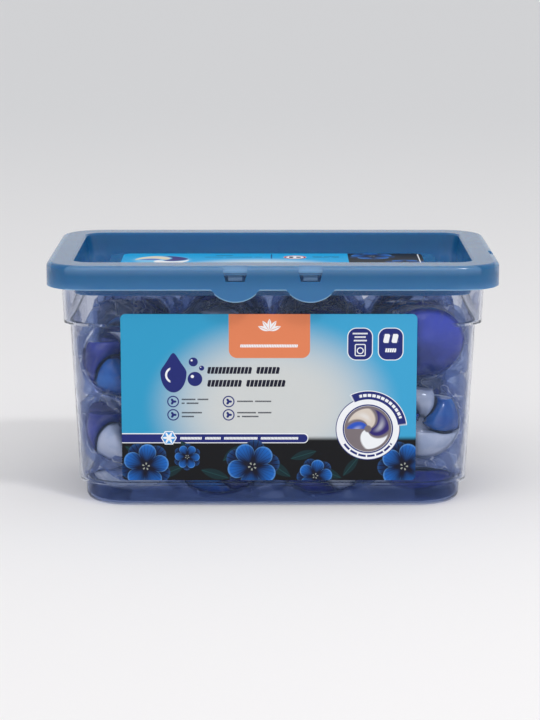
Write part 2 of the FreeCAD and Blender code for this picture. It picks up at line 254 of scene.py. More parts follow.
floor_mesh = bpy.data.meshes.new("floor")
turns = np.linspace(0, 2 * math.pi, FLOOR_CORNERS + 1)[:-1]
around = [(FLOOR_REACH * math.cos(turn), FLOOR_REACH * math.sin(turn), 0) for turn in turns]
floor_mesh.from_pydata(around, [], [list(range(FLOOR_CORNERS))])
floor = new_object("floor", floor_mesh)
paper, graph, end = new_material("paper sweep")
place, _, y, _ = object_place(graph)
# Painted shade: the floor's colour grows darker further back, standing in for light that falls off.
tone = graph.mix(graph.smooth(y, -0.4, 2.5), colour(243, 241, 241), colour(228, 228, 229))
grain = noise(graph, place, 900.0, 3.0)
finish_with(graph, end, graph.node("ShaderNodeBsdfPrincipled", {}, {
    "Base Color": tone, "Roughness": 0.85, "Specular IOR Level": 0.2,
    "Normal": bump(graph, grain, 0.0001, 0.3)}))
floor_mesh.materials.append(paper)
print("floor corners:", len(floor_mesh.vertices))

# %% [markdown]
# ## The blue lid
# The real lid is moulded in blue polypropylene that lets a little light through. A flat blue
# would look like paint, so the light may scatter under the surface, the colour drifts slightly,
# and a fine bump breaks up the gloss as a mould's texture does. Thin edges, the outer corners
# and the panes of the latch windows look paler on the real lid, because more light comes
# through there. Here masks worked out from height and place paint them paler.

# %% Where glow is painted on the lid
LATCH_X = 0.0187         # from the tub's middle to the middle of each front latch
PANE_HALF = 0.006        # half a latch window's length
PANE_FRONT, PANE_BACK, PANE_TOP = -0.0694, -0.060, 0.1250
LOBE_RADIUS, LOBE_HEIGHT = 0.01565, 0.12345      # the arc of each finger lobe and its middle
SKIRT_BOTTOM = 0.1139


def pane_glow_mask(graph, from_latch, y, z):
    """1 on the panes of the two front latch windows, where glow is painted."""
    across = graph.smooth(from_latch, PANE_HALF + 0.0008, PANE_HALF)
    deep = graph.smooth(y, PANE_FRONT - 0.0005, PANE_FRONT) * graph.smooth(y, PANE_BACK + 0.002, PANE_BACK)
    return across * deep * graph.smooth(z, PANE_TOP + 0.0008, PANE_TOP)


def edge_glow_mask(graph, from_latch, x, y, z):
    """How much glow is painted on the skirt's lip, its shoulder and its rounded corners, which let light
    through.
    """
    to_arc = LOBE_RADIUS - (from_latch ** 2 + (z - LOBE_HEIGHT) ** 2).math("SQRT")
    lip = graph.smooth(to_arc.math("MAXIMUM", z - SKIRT_BOTTOM), 0.0007, 0.0002)
    long_side = graph.smooth(abs(y), 0.0665, 0.0675)
    short_side = graph.smooth(abs(x), 0.1105, 0.1115)
    shoulder = graph.smooth(z, 0.1205, 0.1245) * 0.35
    corner = graph.smooth(z, 0.1180, 0.1110) * graph.smooth(abs(x), 0.084, 0.099) * 0.35
    edges = lip.math("MAXIMUM", shoulder) * long_side.math("MAXIMUM", short_side)
    return edges.math("MAXIMUM", corner)


# %% The lid's plastic
lid_plastic, graph, end = new_material("blue lid plastic")
place, x, y, z = object_place(graph)
from_latch = abs(abs(x) - LATCH_X)
drift = noise(graph, place, 14.0, 3.0)
base = graph.mix(drift, colour(2, 88, 136), colour(10, 98, 150))
# Painted glow: these three mixes make the lid paler where light would come through it: on its lower parts,
# on the latch windows' panes, and along the thin lip, the shoulder and the rounded corners.
base = graph.mix(graph.smooth(z, 0.1215, 0.1125) * 0.3, base, colour(74, 140, 196))
base = graph.mix(pane_glow_mask(graph, from_latch, y, z) * 0.35, base, colour(110, 160, 206))
base = graph.mix(edge_glow_mask(graph, from_latch, x, y, z) * 0.75, base, colour(144, 178, 206))
grain = noise(graph, place, 2600.0, 2.0)
flow = noise(graph, place, 60.0, 2.0)
finish_with(graph, end, graph.node("ShaderNodeBsdfPrincipled", {}, {
    "Base Color": base,
    "Roughness": 0.12 + flow * 0.08,
    "IOR": 1.5,
    "Subsurface Weight": 0.7,
    "Subsurface Radius": (0.25, 0.6, 1.0),
    "Subsurface Scale": 0.004,
    "Normal": bump(graph, grain * 0.4 + flow, 0.0001, 0.4)}))
dress("lid", lid_plastic)
print("lid dressed, nodes", len(lid_plastic.node_tree.nodes))

# %% [markdown]
# ## The clear tub
# The tub is moulded in clear plastic, 1.3 mm thick. Real glass nodes bend the light at its
# corners as the photograph shows, but they would leave the pods inside in the dark. A Light Path
# node lets the lamps' light straight through, and only the eye's rays are bent. The thick foot
# looks bluer, because one looks along it, and the catches look milky: both are masks by height
# and place. The catches' light blue, which also covers the wall behind the front ones, is partly
# painted light in place of the blue light that the lid lets in. A dark Specular Tint keeps the
# bright surround from veiling the pods.

# %% Where the tub is milky and painted lighter
FOOT_TOP, FOOT_LOW = 0.0135, 0.008
CATCH_LOW, CATCH_TOP = 0.108, 0.110
CATCH_HALF = 0.0075


def catch_milk_and_glow(graph, x, y, z):
    """1 on the latch catches, and less on the wall behind the front ones: milky plastic there, and painted
    light.
    """
    front, right = graph.smooth(-y, 0.0652, 0.0658), graph.smooth(x, 0.1092, 0.1098)
    near_latch = graph.smooth(abs(abs(x) - LATCH_X), CATCH_HALF + 0.001, CATCH_HALF)
    behind = graph.smooth(-y, 0.0612, 0.0620) * near_latch
    milky = front.math("MAXIMUM", right).math("MAXIMUM", behind * 0.6)
    return milky * graph.smooth(z, CATCH_LOW, CATCH_TOP)


# %% The tub's plastic
tub_plastic, graph, end = new_material("clear tub plastic")
place, x, y, z = object_place(graph)
haze = noise(graph, place, 35.0, 3.0)
ripple = noise(graph, place, 40.0, 2.0)
tint = graph.mix(haze, colour(222, 226, 237), colour(232, 234, 242))
tint = graph.mix(graph.smooth(z, FOOT_TOP, FOOT_LOW) * 0.9, tint, colour(104, 124, 172))
clear = graph.node("ShaderNodeBsdfPrincipled", {}, {
    "Base Color": tint, "Roughness": 0.03 + haze * 0.03, "IOR": 1.45, "Transmission Weight": 1.0,
    "Specular Tint": (0.22, 0.24, 0.3, 1.0),
    "Normal": bump(graph, ripple, 0.0004, 0.35)})
milk_and_glow = graph.node("ShaderNodeBsdfPrincipled", {}, {
    "Base Color": colour(124, 164, 204), "Roughness": 0.2, "IOR": 1.45})
# The catches' milky light blue is partly painted light, standing in for the blue light that the lid lets
# in.
cloudy = 0.012 + haze * 0.016 + catch_milk_and_glow(graph, x, y, z) * 0.6
wall = graph.node("ShaderNodeMixShader", {}, [cloudy, clear, milk_and_glow])
ray = graph.node("ShaderNodeLightPath")
lit = ray.also("Is Shadow Ray").math("MAXIMUM", ray.also("Is Diffuse Ray"))
through = graph.node("ShaderNodeBsdfTransparent", {}, [colour(246, 247, 251)])
finish_with(graph, end, graph.node("ShaderNodeMixShader", {}, [lit, wall, through]))
dress("tub", tub_plastic)
print("tub dressed, nodes", len(tub_plastic.node_tree.nodes))

# %% [markdown]
# ## Printed film
# A label is flat print, so its picture is painted in the material: each shape is a mask, worked
# out from the distance to the shape's edge, and painted over what lies under it. An image would
# do as well, but it would be one more file. A rule that many shapes use, such as a bar's or a
# flower's, is kept once as a node group, so that each use of it is one node.

# %% Rules for print, each kept once
SPOT = ("across", "down", "middle x", "middle y")
INKS = ("deep", "bright", "picture")
SLANT = 0.22             # how far a row's blocks lean, as a share of their height


def kept_rule(name, inputs, rule):
    """A shader rule kept as a node group, so that each use of it is a single node."""
    tree = bpy.data.node_groups.new(name, "ShaderNodeTree")
    for input_name in inputs:
        kind = "NodeSocketColor" if input_name in INKS else "NodeSocketFloat"
        tree.interface.new_socket(input_name, in_out="INPUT", socket_type=kind)
    graph = Graph(tree)
    start = tree.nodes.new("NodeGroupInput")
    results = rule(graph, *(Wire(graph, start.outputs[input_name]) for input_name in inputs))
    for number, result in enumerate(results):
        kind = "NodeSocketColor" if result.socket.type == "RGBA" else "NodeSocketFloat"
        tree.interface.new_socket(f"result {number}", in_out="OUTPUT", socket_type=kind)
    finish = tree.nodes.new("NodeGroupOutput")
    for number, result in enumerate(results):
        tree.links.new(result.socket, finish.inputs[number])
    return tree


def use(graph, rule, *values):
    """One node that runs a kept rule on its values."""
    return graph.node("ShaderNodeGroup", {"node_tree": rule}, values)


def inside_rule(graph, distance, soft):
    """1 inside an edge and 0 outside it."""
    return [(0.5 - distance / soft).math("MAXIMUM", 0.0).math("MINIMUM", 1.0)]


def bar_rule(graph, across, down, left, top, right, bottom, corner):
    """The distance to the edge of a bar with round corners."""
    out_x = abs(across - (left + right) * 0.5) - (right - left) * 0.5 + corner
    out_y = abs(down - (top + bottom) * 0.5) - (bottom - top) * 0.5 + corner
    far_x, far_y = out_x.math("MAXIMUM", 0.0), out_y.math("MAXIMUM", 0.0)
    outside = (far_x * far_x + far_y * far_y).math("SQRT")
    return [outside + out_x.math("MAXIMUM", out_y).math("MINIMUM", 0.0) - corner]


def polar_rule(graph, across, down, middle_x, middle_y):
    """The distance and the angle from a point."""
    over, under = across - middle_x, down - middle_y
    return [(over * over + under * under).math("SQRT"), under.math("ARCTAN2", over)]


INSIDE = kept_rule("inside an edge", ("distance", "soft"), inside_rule)
BAR = kept_rule("bar", ("across", "down", "left", "top", "right", "bottom", "corner"), bar_rule)
POLAR = kept_rule("polar", SPOT, polar_rule)
print("simple print rules:", INSIDE.name, BAR.name, POLAR.name)


# %% Rules for blocks, flowers and leaves
def block_rule(graph, across, down, left, top, length, height, beats):
    """A row of slanted blocks."""
    slanted = across - left + (down - top - height * 0.5) * SLANT
    share = (slanted / length * beats).math("FRACT")
    blocks = graph.smooth(abs(share - 0.5), 0.46, 0.36)
    bar = use(graph, BAR, across, down, left, top, left + length, top + height, height * 0.2)
    return [use(graph, INSIDE, bar, 0.12) * blocks]


def flower_rule(graph, across, down, middle_x, middle_y, radius, petals, turn, deep, bright, picture):
    """A soft bloom: a dark ring of petals, a brighter one over it, and fine veins."""
    far = use(graph, POLAR, across, down, middle_x, middle_y)
    angle = far.also("result 1") + turn
    for grow, ahead, dark in ((1.0, math.pi, 0.5), (0.9, 0.0, 0.0)):
        lobe = abs(((angle * petals + ahead) * 0.5).math("COSINE"))
        edge = (lobe ** 0.5 * 0.5 + 0.5) * radius * grow
        share = (far / edge).math("MINIMUM", 1.0)
        vein = graph.smooth(abs((angle * petals * 3.5).math("SINE")), 0.45, 0.0) * share * 0.3
        depth = graph.smooth(share * 0.9 + lobe * 0.5 - vein - dark, 0.5, 1.5)
        tone = graph.mix(depth, deep, bright)
        tone = graph.mix(graph.smooth(share, 0.9, 1.0) * (0.3 - dark * 0.5), tone, colour(140, 200, 245))
        picture = graph.mix(use(graph, INSIDE, far - edge, 0.25), picture, tone)
    picture = graph.mix(graph.smooth(far, radius * 0.34, radius * 0.12) * 0.85, picture, colour(6, 8, 34))
    dots = use(graph, INSIDE, abs(far - radius * 0.11) - radius * 0.04, 0.3)
    dots = dots * graph.smooth((angle * 5).math("COSINE"), 0.2, 0.7)
    return [graph.mix(dots * 0.8, picture, colour(180, 186, 176))]


def leaf_rule(graph, across, down, middle_x, middle_y, length, width, turn, deep, bright, picture):
    """A pointed leaf with a thin rib along its middle."""
    over, under = across - middle_x, down - middle_y
    cosine, sine = turn.math("COSINE"), turn.math("SINE")
    along = over * cosine + under * sine
    side = abs(under * cosine - over * sine)
    room = (1 - (along / length * 2) ** 2) * width * 0.5
    picture = graph.mix(use(graph, INSIDE, side - room, 0.3), picture, deep)
    rib = use(graph, INSIDE, side - 0.12, 0.2) * use(graph, INSIDE, 0.4 - room, 0.3)
    return [graph.mix(rib, picture, bright)]


BLOCKS = kept_rule("blocks", ("across", "down", "left", "top", "length", "height", "beats"), block_rule)
FLOWER = kept_rule("flower", (*SPOT, "radius", "petals", "turn", *INKS), flower_rule)
LEAF = kept_rule("leaf", (*SPOT, "length", "width", "turn", *INKS), leaf_rule)
print("nodes in a flower:", len(FLOWER.nodes), "and in a leaf:", len(LEAF.nodes))


# %% [markdown]
# The print's own coordinates are millimetres from the label's upper left corner, across and
# down. A small class holds the picture so far, so that each shape is painted by one short line.

# %% A picture that is painted shape by shape
class Print:
    """A picture in millimetres that grows one painted shape at a time."""

    def __init__(self, graph, across, down, ground):
        self.graph, self.across, self.down, self.picture = graph, across, down, ground

    def paint(self, mask, ink):
        """Ink over the picture, where the mask is 1."""
        self.picture = self.graph.mix(mask, self.picture, ink)

    def inside(self, distance, soft=0.12):
        """1 where the distance to an edge is below zero, with a soft step."""
        return use(self.graph, INSIDE, distance, soft)

    def fill(self, distance, ink):
        """Ink inside an edge, given by the distance to it."""
        self.paint(self.inside(distance), ink)

    def bar(self, left, top, right, bottom, corner=0.01):
        """The distance to the edge of a bar with round corners."""
        return use(self.graph, BAR, self.across, self.down, left, top, right, bottom, corner)

    def polar(self, middle_x, middle_y):
        """Distance and angle from a point, the angle turning from right to down."""
        far = use(self.graph, POLAR, self.across, self.down, middle_x, middle_y)
        return far, far.also("result 1")

    def disc(self, middle_x, middle_y, radius):
        """The distance to the edge of a disc."""
        return self.polar(middle_x, middle_y)[0] - radius

    def blocks(self, left, top, height, lengths, gap, ink):
        """A line of block rows, each with as many blocks as fit its length."""
        for length in lengths:
            beats = max(1, round(length / (height * 0.55)))
            row = (left, top, length, height, beats)
            self.paint(use(self.graph, BLOCKS, self.across, self.down, *row), ink)
            left += length + gap

    def flower(self, *shape):
        """A flower of a place, radius, petals and turn."""
        self.picture = use(self.graph, FLOWER, self.across, self.down, *shape, DEEP, BRIGHT, self.picture)

    def leaf(self, *shape):
        """A leaf of a place, length, width, turn, ink and rib ink."""
        self.picture = use(self.graph, LEAF, self.across, self.down, *shape, self.picture)

    def arc(self, far, angle, reach, half, start, stop):
        """A band at one distance from a point, each of its ends a pair of angles for a soft step."""
        ends = self.graph.smooth(angle, *start) * self.graph.smooth(angle, *stop)
        return self.inside(abs(far - reach) - half) * ends

    def dashes(self, angle, count, outer, inner):
        """1 on dashes round a point, and 0 between them."""
        return self.graph.smooth(abs((angle * count).math("FRACT") - 0.5), outer, inner)


print("shapes:", [name for name in vars(Print) if not name.startswith("_")])


# %% Where a label's print starts, and how it shines
def print_place(graph, node, upright):
    """Millimetres across and down a label, from its upper left corner."""
    low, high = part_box(node)
    place, x, y, z = object_place(graph)
    down = (high.z - z) if upright else (high.y - y)
    return (x - low.x) * 1000, down * 1000, place


def print_finish(graph, end, place, picture):
    """Ink under a thin glossy film, with the film's slight waviness."""
    wave = noise(graph, place, 45.0, 2.0)
    dust = noise(graph, place, 1800.0, 2.0)
    finish_with(graph, end, graph.node("ShaderNodeBsdfPrincipled", {}, {
        "Base Color": picture, "Roughness": 0.42 + dust * 0.08, "IOR": 1.45, "Specular IOR Level": 0.3,
        "Normal": bump(graph, wave, 0.0003, 0.25)}))


low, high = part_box("front_label")
print("front label in mm:", [round(1000 * side, 1) for side in high - low])

# %% Inks and motifs that both labels share
NAVY, INK, WHITE, BLACK = colour(28, 38, 112), colour(16, 18, 40), colour(240, 242, 245), colour(3, 4, 10)
DEEP, BRIGHT = colour(1, 5, 34), colour(20, 104, 196)
GREEN, RIB_GREEN = colour(8, 40, 46), colour(26, 76, 78)
QUARTER = math.pi / 2


def plant(art, leaves, blooms):
    """Leaves of a place, length, width and turn, then flowers of a place, radius, petals and turn."""
    for leaf in leaves:
        art.leaf(*leaf, GREEN, RIB_GREEN)
    for bloom in blooms:
        art.flower(*bloom)


def four_lobes(art, far, angle, twist, half, radius, inks, gleam=0.0):
    """Four swirled lobes round a point, each in its own ink, with a gleam along each."""
    turned = angle + far * twist
    swirl = (turned / QUARTER).math("FRACT")
    which = ((turned + math.pi) / QUARTER).math("FLOOR")
    lobe = art.inside(abs(swirl - 0.5) - half, 0.1) * art.inside(far - radius, 0.4)
    lobe = lobe * art.graph.smooth(far, 1.4, 2.2)
    shine = art.graph.smooth(abs(swirl - 0.42), 0.3, 0.0) * art.graph.smooth(abs(far - 6.5), 4.5, 0.0)
    for number, ink in enumerate(inks):
        one = art.inside(abs(which - number) - 0.5, 0.2)
        art.paint(lobe * one, art.graph.mix(shine * gleam, ink, WHITE))


print("inks and motifs ready")

# %% [markdown]
# ## The front label
# The front label is a printed film on the tub's front wall, cyan at its ends and pale round its
# middle. Its shapes are painted from back to front, as a screen printer lays inks: the marks
# first, then the flowers along the foot, then the round medallion. All motifs are plain ones.

# %% The front label's ground and orange tab
FAN_X, FAN_Y, FAN_REACH = 74.7, 8.6, 3.1
FAN_LEAVES, FAN_STEP = 5, 34
ORANGE = colour(226, 130, 88)

label_ink, graph, end = new_material("front label print")
across, down, place = print_place(graph, "front_label", True)
glow = ((across - 76) / 62) ** 2 + ((down - 48) / 46) ** 2
cyan = graph.mix(graph.smooth(across, 10.0, 140.0), colour(44, 154, 198), colour(58, 162, 208))
ground = graph.mix(graph.smooth(glow, 1.15, 0.1), cyan, colour(206, 209, 208))
art = Print(graph, across, down, ground)
art.fill(art.bar(54.3, -9, 95.1, 22.6, 4.2), ORANGE)
for number in range(FAN_LEAVES):
    lean = math.radians(-90 + (number - (FAN_LEAVES - 1) / 2) * FAN_STEP)
    leaf_x, leaf_y = FAN_X + FAN_REACH * math.cos(lean), FAN_Y + FAN_REACH * math.sin(lean)
    art.leaf(leaf_x, leaf_y, 6.0, 2.1, lean, WHITE, ORANGE)
art.blocks(60.0, 15.6, 1.5, (29.0,), 1.0, WHITE)
print("fan leaves:", FAN_LEAVES)

# %% The front label's drop, bubbles and block rows
DROP_X, DROP_Y = 26.4, 30.2

point = (down - DROP_Y).math("MINIMUM", 0.0)
drop = (across - DROP_X) ** 2 * (1.0 + point * point * 0.045) + (down - DROP_Y) ** 2 * 0.42
art.fill(drop.math("SQRT") - 6.6, NAVY)
glint = art.inside(abs(art.disc(DROP_X, DROP_Y + 1.2, 3.7)) - 0.5)
art.paint(glint * graph.smooth(across, DROP_X - 1.2, DROP_X - 2.2), WHITE)
for bubble_x, bubble_y, size in ((37.2, 33.4, 3.7), (36.4, 24.6, 2.3), (40.6, 27.8, 1.3)):
    art.fill(art.disc(bubble_x, bubble_y, size), NAVY)
    aside = size * 0.35
    art.fill(art.disc(bubble_x - aside, bubble_y - aside, size * 0.22), WHITE)

art.blocks(43.4, 27.2, 3.5, (22.5, 11.8), 2.2, INK)
art.blocks(43.4, 33.9, 3.5, (17.4, 19.8), 2.2, INK)
for icon_x, icon_y in ((26.1, 45.1), (26.1, 52.0), (54.1, 45.1), (54.1, 52.0)):
    far, angle = art.polar(icon_x, icon_y)
    art.fill(abs(far - 2.7) - 0.3, NAVY)
    art.fill(far - 1.2 - (angle * 3).math("COSINE") * 0.5, NAVY)
for left, top, lengths in (
        (30.4, 43.6, (7.0, 5.5)), (30.4, 45.6, (1.5, 6.0)), (30.4, 50.5, (10.2,)), (30.4, 52.5, (6.2,)),
        (58.4, 44.6, (8.0, 8.2)), (58.4, 50.5, (9.5, 6.8)), (58.4, 52.5, (1.4, 8.4))):
    art.blocks(left, top, 0.75, lengths, 1.0, INK)
print("nodes so far:", len(label_ink.node_tree.nodes))

# %% The front label's two badges
BADGE_WIDTH, BADGE_RIM = 12, 0.45

for left in (114.2, 129.6):
    right = left + BADGE_WIDTH
    art.fill(art.bar(left - BADGE_RIM, 7.0, right + BADGE_RIM, 23.8, 4.6), WHITE)
    art.fill(art.bar(left, 7.4, right, 23.4, 4.2), NAVY)
for left, top, length in ((116.4, 9.6, 7.6), (117.4, 11.4, 5.6), (117.0, 13.2, 6.6)):
    art.blocks(left, top, 0.8, (length,), 1, WHITE)
art.fill(abs(art.bar(117.8, 15.6, 122.8, 21.4, 0.6)) - 0.25, WHITE)
art.fill(abs(art.disc(120.3, 18.8, 1.5)) - 0.25, WHITE)
art.blocks(131.8, 10.2, 4.6, (3.4, 3.4), 0.8, WHITE)
art.blocks(132.8, 17.6, 2.0, (5.6,), 1, WHITE)
print("nodes so far:", len(label_ink.node_tree.nodes))

# %% The front label's band and flowers
STAR_X, STAR_Y, STAR_SIDE = 23.8, 64.0, math.pi / 3

art.fill(art.bar(-9, 61.6, 94.5, 66.6, 2.4), WHITE)
art.paint(graph.smooth(down, 62.6, 65.6), BLACK)
art.fill(art.bar(-9, 61.7, 94.4, 66.8, 2.5), WHITE)
art.fill(art.bar(-9, 62.1, 94.0, 66.4, 2.1), NAVY)
plant(art, (
    (8, 72, 15, 5, 0.5), (24, 82, 16, 5, -0.4), (34, 71, 14, 4.5, 0.9), (47, 83, 15, 5, 0.3),
    (56, 72, 13, 4.5, -0.7), (79, 80, 16, 5.5, 0.6), (92, 73, 14, 4.5, -0.3), (104, 82, 16, 5, 0.4),
    (116, 79, 13, 4, -0.9), (143, 72, 14, 5, 0.8), (146, 84, 13, 4.5, -0.2)), (
    (98, 84, 9.5, 5, 0.1), (33, 74, 7.0, 6, 1.0), (12, 79, 13.0, 5, 0.2), (66, 79, 14.0, 5, 0.8),
    (143, 79, 13.5, 5, 1.3)))
art.blocks(29.5, 63.6, 1.3, (11.0, 8.0, 17.0, 19.0), 1.6, WHITE)
far, angle = art.polar(STAR_X, STAR_Y)
hexagon = far * (((angle / STAR_SIDE).math("FRACT") - 0.5) * STAR_SIDE).math("COSINE")
art.fill(hexagon - 3.5, WHITE)
art.fill(hexagon - 3.0, colour(60, 150, 220))
art.fill(hexagon - 2.0 - (angle * 6).math("COSINE") * 0.8, WHITE)
print("nodes so far:", len(label_ink.node_tree.nodes))

# %% The front label's medallion
MEDAL_X, MEDAL_Y = 124.5, 59.3
RIBBON_REACH, LOWER_REACH = 17.4, 14.2

far, angle = art.polar(MEDAL_X, MEDAL_Y)
art.fill(far - 16.3, NAVY)
art.fill(far - 15.9, WHITE)
art.fill(abs(far - 12.4) - 0.35, NAVY)
art.fill(far - 11.9, colour(122, 112, 116))
lobe_inks = (colour(44, 84, 190), colour(214, 202, 190), colour(48, 38, 112), WHITE)
four_lobes(art, far, angle, 0.13, 0.42, 10.6, lobe_inks, 0.45)
art.paint(art.arc(far, angle, RIBBON_REACH, 2.5, (-2.08, -2.02), (-0.08, -0.14)), WHITE)
art.paint(art.arc(far, angle, RIBBON_REACH, 2.1, (-2.05, -2.0), (-0.1, -0.16)), NAVY)
middle = art.arc(far, angle, RIBBON_REACH, 0.75, (-1.85, -1.8), (-0.3, -0.35))
art.paint(middle * art.dashes(angle, 7.5, 0.42, 0.34), WHITE)
lower = art.arc(far, angle, LOWER_REACH, 0.55, (0.55, 0.59), (2.6, 2.56))
art.paint(lower * art.dashes(angle, 3.1, 0.44, 0.4), NAVY)
print_finish(graph, end, place, art.picture)
dress("front_label", label_ink)
print("front label: nodes", len(label_ink.node_tree.nodes))

# %% [markdown]
# ## The lid label
# A second printed film lies on the lid's raised panel, so its print is measured from above. It
# carries the same flowers and swirled lobes, and it is painted in the same way.

# %% The lid label's ground and flowers
lid_ink, graph, end = new_material("lid label print")
across, down, place = print_place(graph, "lid_label", False)
glow = ((across - 74) / 60) ** 2 + ((down - 52) / 44) ** 2
ground = graph.mix(graph.smooth(glow, 0.72, 0.05), colour(6, 164, 222), colour(206, 222, 230))
art = Print(graph, across, down, ground)
art.fill(art.bar(121, -9, 190, 120, 3.5), BLACK)
plant(art, (
    (128, 12, 15, 5, 0.6), (150, 28, 16, 5, -0.4), (130, 50, 15, 5, 1.2), (152, 66, 14, 5, 0.2),
    (132, 82, 15, 5, -0.8)), (
    (134, 10, 12.5, 5, 0.4), (151, 34, 11.6, 6, 1.1), (131, 50, 12.6, 5, 0.2), (150, 66, 11.2, 5, 0.8),
    (133, 82, 11.6, 6, 0.5)))
print("nodes so far:", len(lid_ink.node_tree.nodes))

# %% The lid label's marks and lobes
RING_X, RING_Y = 92.5, 14.0

art.fill(art.bar(158.6, 3.0, 159.2, 90.0, 0.3), WHITE)
art.fill(art.bar(79.6, 3.0, 80.2, 19.0, 0.3), NAVY)
art.fill(art.disc(RING_X, RING_Y, 6.2), WHITE)
art.fill(abs(art.disc(RING_X, RING_Y, 5.4)) - 0.6, colour(196, 48, 48))
art.fill(art.bar(89.4, 11.4, 91.6, 16.6, 1.0), INK)
art.fill(art.bar(93.2, 12.2, 95.6, 16.0, 1.0), INK)
for left, top, height, lengths, gap in (
        (102.0, 11.0, 1.1, (5.0, 8.0), 1.2), (102.0, 14.0, 1.1, (9.0, 4.0), 1.2),
        (50.0, 7.0, 1.5, (9.0,), 1.8), (44.0, 13.0, 1.3, (10.0, 14.0, 4.0), 1.4),
        (38.0, 37.0, 5.4, (34.0, 18.0), 3.0), (38.0, 46.0, 5.4, (26.0, 30.0), 3.0),
        (38.0, 56.0, 1.6, (20.0, 14.0, 18.0), 2.0), (38.0, 60.0, 1.6, (12.0, 22.0), 2.0)):
    art.blocks(left, top, height, lengths, gap, INK)
far, angle = art.polar(21.5, 24.0)
art.paint(graph.smooth(far, 17.5, 12.0) * 0.6, colour(150, 206, 236))
lobe_inks = (colour(92, 100, 178), colour(226, 214, 190), colour(52, 42, 118), WHITE)
four_lobes(art, far, angle, 0.12, 0.44, 14.4, lobe_inks)
print_finish(graph, end, place, art.picture)
dress("lid_label", lid_ink)
print("lid label: nodes", len(lid_ink.node_tree.nodes))

# %% [markdown]
# ## The pods
# A pod is a pack of thin clear film: four swirled chambers on one side, one flatter belly on the
# other, a crimped seam round them, and loose crumpled film outside the seam. Each chamber holds
# coloured gel and a little air, so the gel shows a level line. The shapes follow a rule, so
# Geometry Nodes make them: a flat grid is wound round into a disc, and each point is lifted by
# its angle and its distance from the middle. The grid's columns twist with the swirl, so the
# grooves stay crisp.

# %% The rule of a pod's height
pod_sizes = {"Radius": 0.0215, "Chamber Reach": 0.0204, "Chamber Rise": 0.0094, "Chamber Offset": 0.0096,
             "Belly Reach": 0.0202, "Belly Depth": 0.0100, "Swirl": 1.15, "Seam": 0.0008,
             "Flap": 0.18, "Flap Corner": 0.3}
TURN = 2 * math.pi
CHAMBERS = 4


def start_tree(name):
    """A tree with the pod's sizes as its named inputs."""
    tree = bpy.data.node_groups.new(name, "GeometryNodeTree")
    tree.interface.new_socket("Geometry", in_out="OUTPUT", socket_type="NodeSocketGeometry")
    for size_name, value in pod_sizes.items():
        made = tree.interface.new_socket(size_name, in_out="INPUT", socket_type="NodeSocketFloat")
        made.default_value = value
    graph = Graph(tree)
    start = tree.nodes.new("NodeGroupInput")
    return tree, graph, {size_name: Wire(graph, start.outputs[size_name]) for size_name in pod_sizes}


def grid_place(graph, columns, rings):
    """A grid, and each point's share along it and across it, from 0 to 1."""
    grid = graph.node("GeometryNodeMeshGrid", {}, {
        "Size X": 1.0, "Size Y": 1.0, "Vertices X": columns, "Vertices Y": rings})
    apart = graph.node("ShaderNodeSeparateXYZ", values=[graph.node("GeometryNodeInputPosition")])
    return grid, apart + 0.5, apart.also("Y") + 0.5


def swirl_turn(size, share, out):
    """The angle of a point of the upper film: it runs ahead as the point moves outwards."""
    return share * TURN + size["Swirl"] * (out - size["Chamber Offset"] / size["Radius"])


def chamber_bow(size, reach):
    """How the chambers' height falls off towards the middle and towards the seam."""
    span = size["Chamber Reach"] - size["Chamber Offset"]
    bow = (1 - ((reach - size["Chamber Offset"]) / span) ** 2).math("MAXIMUM", 0.0)
    return size["Chamber Rise"] * bow ** 0.8


def belly_bow(size, reach):
    """How the belly's depth falls off towards the seam."""
    bow = (1 - (reach / size["Belly Reach"]) ** 2).math("MAXIMUM", 0.0)
    return size["Belly Depth"] * bow ** 0.8


print("pod sizes:", pod_sizes)


# %% Winding a grid, and ending a tree
def wound(graph, geometry, reach, turn, lift, flip):
    """The grid wound round the pod's axis and lifted."""
    across, along = reach * turn.math("COSINE"), reach * turn.math("SINE")
    place = graph.node("ShaderNodeCombineXYZ", {}, [across, along, lift])
    moved = graph.node("GeometryNodeSetPosition", {}, {"Geometry": geometry, "Position": place})
    return graph.node("GeometryNodeFlipFaces", {}, [moved]) if flip else moved


def end_tree(graph, skins, material):
    """Joins the skins, merges points that meet, and gives the whole its material."""
    joined = graph.node("GeometryNodeJoinGeometry")
    for skin in skins:
        graph.tree.links.new(skin.socket, joined.socket.node.inputs[0])
    closed = graph.node("GeometryNodeMergeByDistance", {}, {"Geometry": joined, "Distance": 0.00002})
    soft = graph.node("GeometryNodeSetShadeSmooth", {}, [closed])
    real = graph.node("GeometryNodeRealizeInstances", {}, [soft])
    done = graph.node("GeometryNodeSetMaterial", {}, {"Geometry": real, "Material": material})
    finish = graph.tree.nodes.new("NodeGroupOutput")
    graph.tree.links.new(done.socket, finish.inputs[0])


# %% [markdown]
# One tree makes the upper film, the lower film and the two faces of the loose film. Each point
# carries a value named out, 0 in the middle and 1 at the seam, so that the film's finish can
# change towards the seam. Loose film carries a value above 1.

# %% The film's tree
LOOSE_MARK = 1.2         # the value "out" of loose film
LOOSE_FROM = 1.1         # above this value, film counts as loose
CRIMPS, CRIMP_HEIGHT = 17, 0.00025
PLEATS, PLEAT_DEPTH = 22, 0.06
LOOSE_START = 0.96       # where loose film starts, as a share of the radius
LOOSE_THICK = 0.00006    # half the loose film's greatest thickness
CRUMPLE = 0.03           # how far the loose film's random folds go
WAVES, WAVE_HEIGHT = 7, 0.0012


def marked_grid(graph, grid, out):
    """A grid whose points carry the value out."""
    settings = {"data_type": "FLOAT", "domain": "POINT"}
    values = {"Geometry": grid, "Name": "out", "Value": out}
    return graph.node("GeometryNodeStoreNamedAttribute", settings, values)


